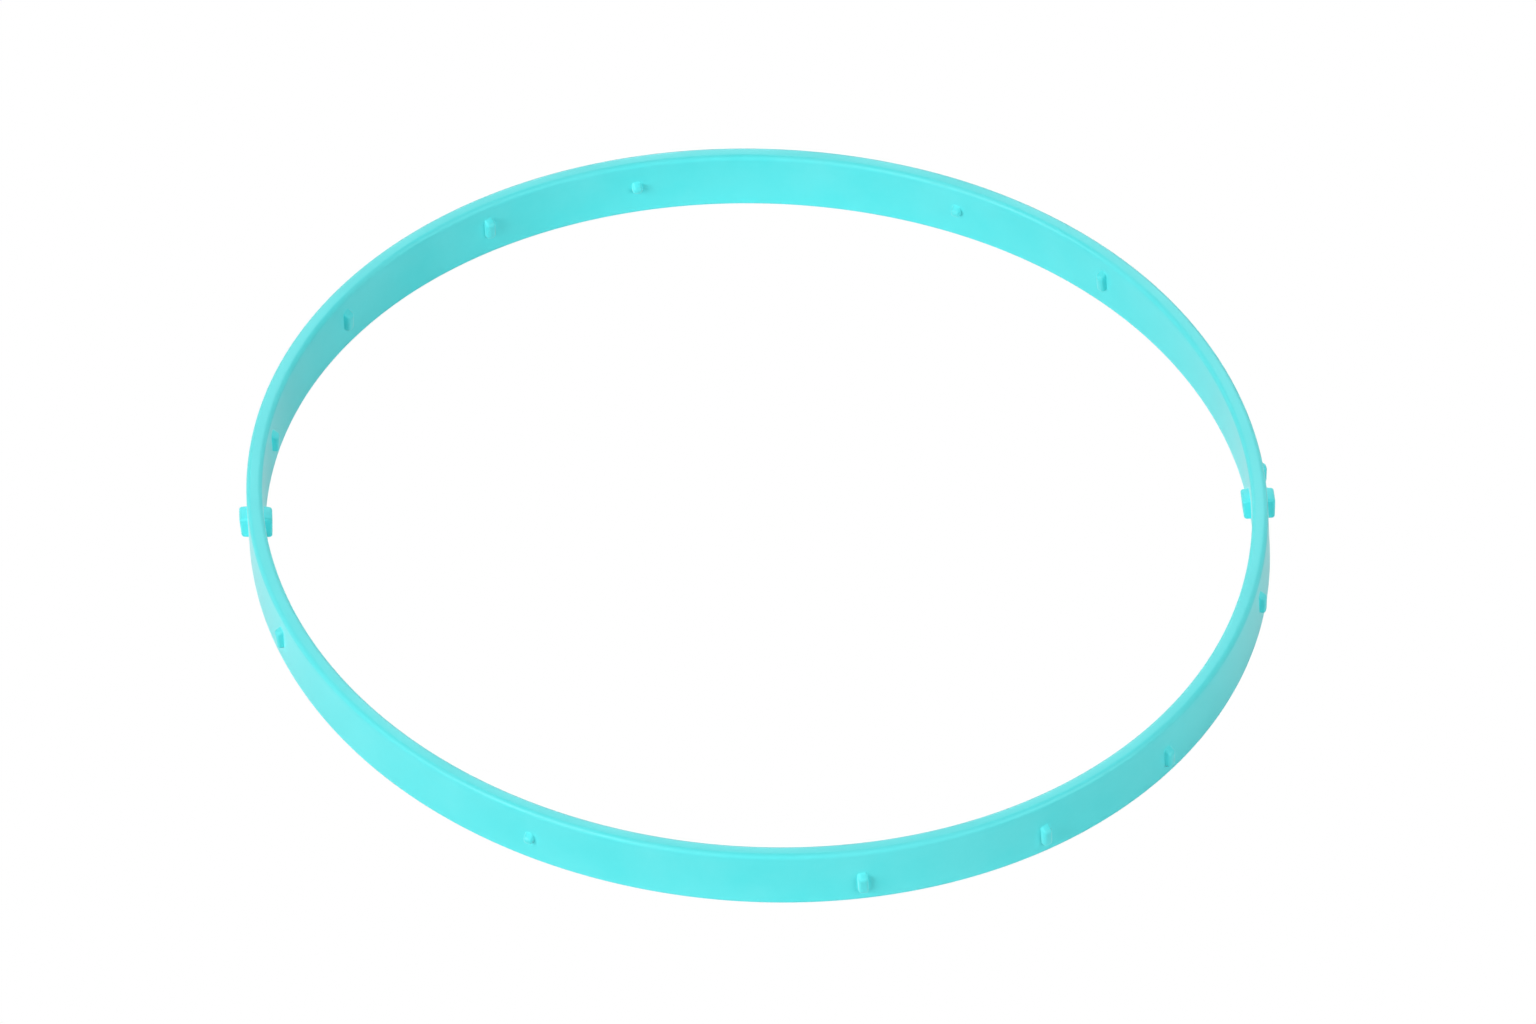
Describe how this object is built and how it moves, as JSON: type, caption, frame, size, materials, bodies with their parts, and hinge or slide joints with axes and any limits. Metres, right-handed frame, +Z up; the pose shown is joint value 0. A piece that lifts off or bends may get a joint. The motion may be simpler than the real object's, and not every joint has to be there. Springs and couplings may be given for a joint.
{
  "type": "press-in-place gasket ring",
  "caption": "Thin, tall elastomer sealing ring that stands on edge in a round groove, held by small nibs on both faces and located by larger paired lugs.",
  "frame": {"origin": "ring's axis at the height of its lower edge, which stands on the groove floor", "axes": "+Z up the ring's axis towards the flange face; +X from the axis towards the right-hand pair of lugs; +Y towards the back"},
  "size_m": [0.1017, 0.1, 0.0066],
  "materials": {
    "elastomer": "satin moulded silicone, turquoise"
  },
  "bodies": {
    "root": {"band_web": "elastomer", "upper_sealing_crown": "elastomer", "lower_sealing_crown": "elastomer", "outer_retention_nibs": "elastomer", "inner_retention_nibs": "elastomer", "keying_nib": "elastomer", "right_outer_lug": "elastomer", "right_inner_lug": "elastomer", "left_outer_lug": "elastomer", "left_inner_lug": "elastomer"}
  },
  "joints": []
}
